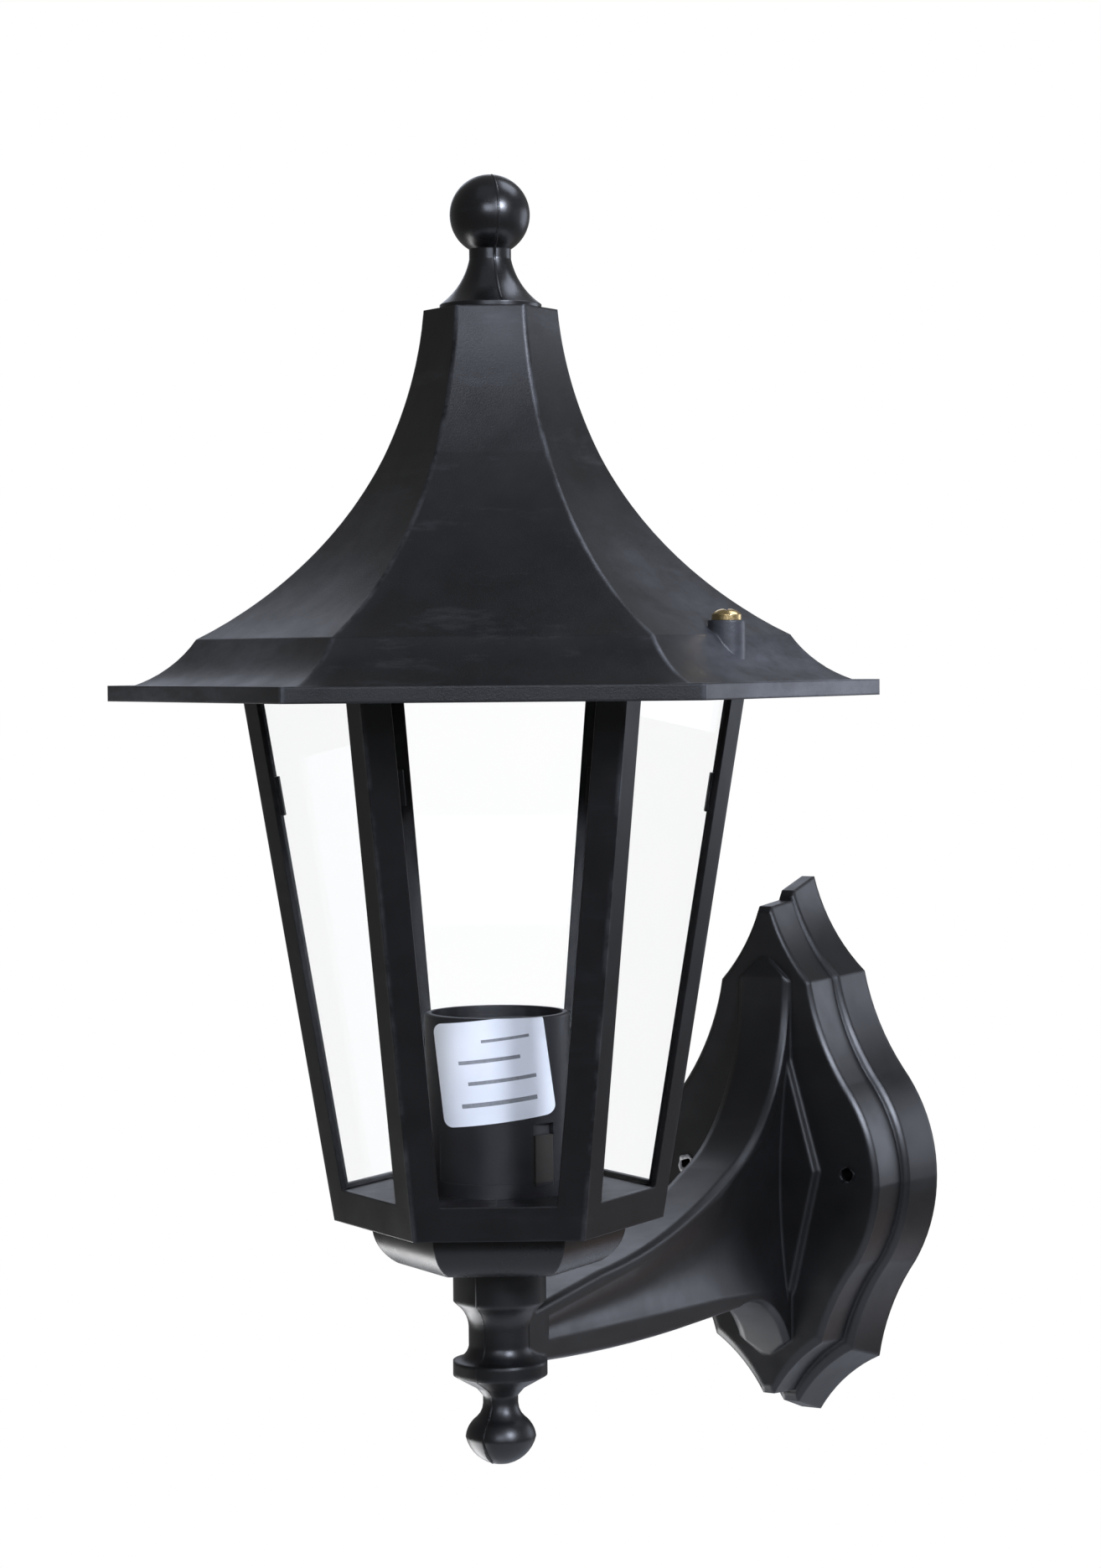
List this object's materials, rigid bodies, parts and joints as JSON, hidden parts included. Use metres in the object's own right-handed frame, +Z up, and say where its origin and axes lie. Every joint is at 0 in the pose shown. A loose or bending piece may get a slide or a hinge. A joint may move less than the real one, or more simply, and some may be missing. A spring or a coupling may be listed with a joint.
{
  "type": "wall light",
  "caption": "Black hexagonal coach lantern with a bell roof and ball finial, standing on a fluted arm with a stepped shield wall plate.",
  "frame": {"origin": "midpoint of the two wall screw holes on the wall plane", "axes": "+Y into the wall, +Z up, +X to the right of a viewer who faces the wall"},
  "size_m": [0.184, 0.3082, 0.3779],
  "materials": {
    "black_plastic": "satin",
    "clear_pane": "clear",
    "brass": "satin",
    "steel": "zinc plated",
    "holder_plastic": "satin",
    "shell_metal": "bright",
    "sticker": "silver film",
    "terminal_plastic": "satin"
  },
  "bodies": {
    "root": {"bracket": "black_plastic", "base_cup": "black_plastic", "lantern_frame": "black_plastic", "roof": "black_plastic", "finial": "black_plastic", "finial_screw": "steel", "roof_screws": "brass", "lampholder_base": "holder_plastic", "lampholder_skirt": "holder_plastic", "lampholder_insert": "holder_plastic", "screw_shell": "shell_metal", "centre_contact": "brass", "rating_label": "sticker", "nipple": "steel", "nipple_nut": "steel", "pane_1": "clear_pane", "pane_2": "clear_pane", "pane_3": "clear_pane", "pane_4": "clear_pane", "pane_5": "clear_pane", "pane_6": "clear_pane", "terminal_block": "terminal_plastic", "terminal_sleeves": "brass", "terminal_screws": "steel"}
  },
  "joints": []
}
